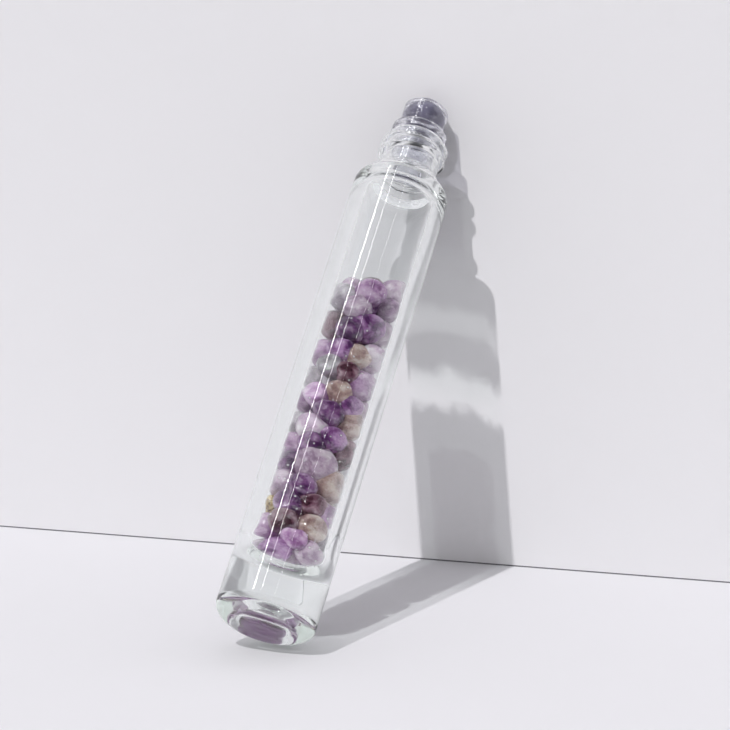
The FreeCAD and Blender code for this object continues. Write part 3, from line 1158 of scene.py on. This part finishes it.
@dataclass
class Studio:
    """A pale floor and wall that the bottle leans between, soft light and the camera.

    The bottle stands upright in its own frame, so the room leans round it instead:
    directions are given as a turn from +X and a height above level, in degrees. Each
    softbox strip has its turn, its width in millimetres and its power in watts.
    """

    floor_up: Span = (-115.9, 46.5)
    wall_out: Span = (-110.5, -38.6)
    sun_from: Span = (-125.8, 11.7)
    strips: tuple[Band, ...] = ((-135.6, 24.0, 0.95), (-117.4, 14.0, 0.34), (-86.0, 5.0, 0.09))
    strip_above_level: float = 30.3
    stage_reach: float = 900.0
    floor_colour: str = "#e3e2e6"
    wall_colour: str = "#e8e7ea"
    backdrop_colour: str = "#f4f3f7"
    # The thin dark strip along the floor–wall corner is painted shade: it stands for the shade in
    # the gap where floor and wall meet.
    gap_shade_colour: str = "#77767b"
    gap_shade_width: float = 0.28
    gap_shade_depth: float = 0.03
    dark_room_colour: str = "#26262b"
    dark_room_from: float = 0.0
    dark_room_to: float = 0.4
    sun_strength: float = 2.07
    sun_angle: float = 1.0
    sky_strength: float = 0.43
    sky_colour: str = "#fbfafb"
    strip_length: float = 420.0
    lamp_distance: float = 900.0
    aim_height: float = 50.0
    clip_start: float = 10.0
    camera_distance: float = 571.6
    camera_elevation: float = -29.08
    camera_roll: float = 17.64
    lens: float = 141.85
    aim_pixel: Span = (333.5, 404.0)
    picture_pixels: float = 730.0

    @staticmethod
    def direction(turn: float, height: float) -> Vector:
        """The unit vector at a turn from +X and a height above level, in degrees."""
        level = math.cos(math.radians(height))
        return Vector((level * math.cos(math.radians(turn)), level * math.sin(math.radians(turn)),
                       math.sin(math.radians(height))))

    @staticmethod
    def stage_material(name: str, colour: str) -> Finish:
        """Matt paint on the stage's face, and nothing on its back.

        Args:
            name: the material's name.
            colour: its hex colour.

        Returns:
            The material.
        """
        material, tree = new_material(name)
        side = add_node(tree, "ShaderNodeNewGeometry")
        paint = add_node(tree, "ShaderNodeBsdfDiffuse", {"Color": linear(colour)})
        nothing = add_node(tree, "ShaderNodeBsdfTransparent")
        face = add_node(tree, "ShaderNodeMixShader", {
            0: side.outputs["Backfacing"], 1: paint, 2: nothing})
        add_node(tree, "ShaderNodeOutputMaterial", {"Surface": face})
        return material

    def plane(self, name: str, own: tuple[Vector, float], other: tuple[Vector, float],
              colour: str, width: float) -> Piece:
        """Builds one plane of the stage, which ends where it meets the other.

        Args:
            name: the plane's name.
            own: its normal, on the side of the bottle, and how far along it the plane lies.
            other: the same for the other plane.
            colour: its hex colour.
            width: how far it goes from the other plane, in millimetres.

        Returns:
            The plane.
        """
        (out, offset), (beside, beside_offset) = own, other
        along = out.cross(beside).normalized()
        away = along.cross(out)
        if away.dot(beside) < 0:
            away = -away
        run = (beside_offset - offset * out.dot(beside)) / away.dot(beside)
        corner = out * offset + away * run
        side, far = along * (self.stage_reach * MM), away * (width * MM)
        work = bmesh.new()
        face = work.faces.new([work.verts.new(place) for place in (
            corner - side, corner + side, corner + side + far, corner - side + far)])
        face.normal_update()
        if face.normal.dot(out) < 0:
            face.normal_flip()
        mesh = written(work, name)
        mesh.materials.append(self.stage_material(f"matt_{name}_paint", colour))
        plane = new_object(mesh)
        return plane

    def stage(self, touching: list[Piece]) -> None:
        """Lays the floor under the heel and stands the wall behind the roller end.

        Args:
            touching: the pieces that the stage only just touches.
        """
        normals = self.direction(*self.floor_up), self.direction(*self.wall_out)
        floor, wall = ((normal, min(normal.dot(vertex.co) for piece in touching
                                    for vertex in piece.data.vertices)) for normal in normals)
        # A thin dark strip just in front of the wall, along the corner, paints the shade of the gap
        # there.
        joint = wall[0], wall[1] + self.gap_shade_depth * MM
        self.plane("floor", floor, wall, self.floor_colour, self.stage_reach)
        self.plane("wall", wall, floor, self.wall_colour, self.stage_reach)
        self.plane("joint", joint, floor, self.gap_shade_colour, self.gap_shade_width)

    def world(self) -> None:
        """Even light, a pale backdrop past the stage, and a dark room that is only mirrored."""
        world = bpy.data.worlds.new("studio")
        world.use_nodes = True
        tree = world.node_tree
        tree.nodes.clear()
        path = add_node(tree, "ShaderNodeLightPath")
        seen = calculate(tree, {name: path.outputs[name] for name in
                                ("Is Camera Ray", "Is Glossy Ray", "Is Transmission Ray")}, (
            ("seen or mirrored", "MAXIMUM", "Is Camera Ray", "Is Glossy Ray"),
            ("seen", "MAXIMUM", "seen or mirrored", "Is Transmission Ray"),
        ))["seen"]
        sky = add_node(tree, "ShaderNodeBackground", {
            "Color": linear(self.sky_colour), "Strength": self.sky_strength})
        place = add_node(tree, "ShaderNodeTexCoord")
        front = add_node(tree, "ShaderNodeVectorMath", {
            0: place.outputs["Generated"], 1: self.direction(-90, self.camera_elevation)},
            operation="DOT_PRODUCT")
        dark = add_node(tree, "ShaderNodeMapRange", {
            "Value": front, "From Min": self.dark_room_from, "From Max": self.dark_room_to})
        mirrored = calculate(tree, {"glossy": path.outputs["Glossy Depth"], "dark": dark}, (
            ("mirrored", "MINIMUM", "glossy", 1),
            ("dark mirrored", "MULTIPLY", "mirrored", "dark"),
        ))["dark mirrored"]
        room = add_node(tree, "ShaderNodeMix", {
            0: mirrored, 6: linear(self.backdrop_colour), 7: linear(self.dark_room_colour)},
            data_type="RGBA")
        backdrop = add_node(tree, "ShaderNodeBackground", {"Color": room})
        both = add_node(tree, "ShaderNodeMixShader", {0: seen, 1: sky, 2: backdrop})
        add_node(tree, "ShaderNodeOutputWorld", {"Surface": both})
        bpy.context.scene.world = world

    def facing(self, data: bpy.types.ID, towards: Vector, distance: float,
               roll: float = 0) -> Piece:
        """Puts a lamp or the camera where it faces the bottle.

        Args:
            data: the lamp or camera.
            towards: the unit vector from the bottle towards it.
            distance: how far off it stands, in millimetres.
            roll: how far it leans about its line of sight, in degrees.

        Returns:
            Its object.
        """
        thing = new_object(data)
        thing.location = Vector((0, 0, self.aim_height * MM)) + towards * (distance * MM)
        turn = Quaternion(towards, math.radians(roll)) @ towards.to_track_quat("Z", "Y")
        thing.rotation_euler = turn.to_euler()
        return thing

    def lamps(self) -> None:
        """A key lamp far off to the left, and tall narrow softboxes that the glass mirrors."""
        key = bpy.data.lights.new("key_lamp", "SUN")
        key.energy = self.sun_strength
        key.angle = math.radians(self.sun_angle)
        lamp = self.facing(key, self.direction(*self.sun_from), self.lamp_distance)
        lamp.visible_transmission = False
        for turn, width, power in self.strips:
            strip = bpy.data.lights.new("strip_softbox", "AREA")
            strip.shape = "RECTANGLE"
            strip.size, strip.size_y = width * MM, self.strip_length * MM
            strip.energy = power
            towards = self.direction(turn, self.strip_above_level)
            box = self.facing(strip, towards, self.lamp_distance)
            box.visible_camera = box.visible_diffuse = box.visible_transmission = False

    def camera(self) -> None:
        """Puts the camera below the base's level and rolls it, as the bottle was seen."""
        data = bpy.data.cameras.new("camera")
        data.lens = self.lens
        data.clip_start = self.clip_start * MM
        half = self.picture_pixels / 2
        data.shift_x = (half - self.aim_pixel[0]) / self.picture_pixels
        data.shift_y = (self.aim_pixel[1] - half) / self.picture_pixels
        back = self.direction(-90, self.camera_elevation)
        bpy.context.scene.camera = self.facing(data, back, self.camera_distance, self.camera_roll)


def main() -> None:
    """Builds the bottle, its roller, its stones and the studio, in that order."""
    logging.basicConfig(level=logging.INFO, format="%(name)s: %(message)s")
    bpy.context.scene.view_settings.view_transform = "Standard"
    bottle_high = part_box("glass_bottle")[1]
    ball_low, ball_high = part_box("roller_ball")
    radius, lip = bottle_high[1] / MM, bottle_high[2] / MM
    ball_centre = (ball_low[2] + ball_high[2]) / 2 / MM
    ball_radius = (ball_high[2] - ball_low[2]) / 2 / MM
    glass = GlassBottle(radius, lip)
    bottle = glass.build()
    housing = RollerHousing(lip, ball_centre, ball_radius).build()
    ball = RollerBall(ball_centre, ball_radius).build()
    chips = {name: node for name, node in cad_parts.items() if "chip" in name}
    stones = StoneCharge(chips, glass.bore, glass.base, glass.floor_rounding).build()
    for piece in (bottle, housing, ball, *stones):
        LOG.info("%s has %d faces", piece.name, len(piece.data.polygons))
    studio = Studio()
    studio.stage([bottle, housing, ball])
    studio.world()
    studio.lamps()
    studio.camera()


if __name__ == "__main__":
    main()
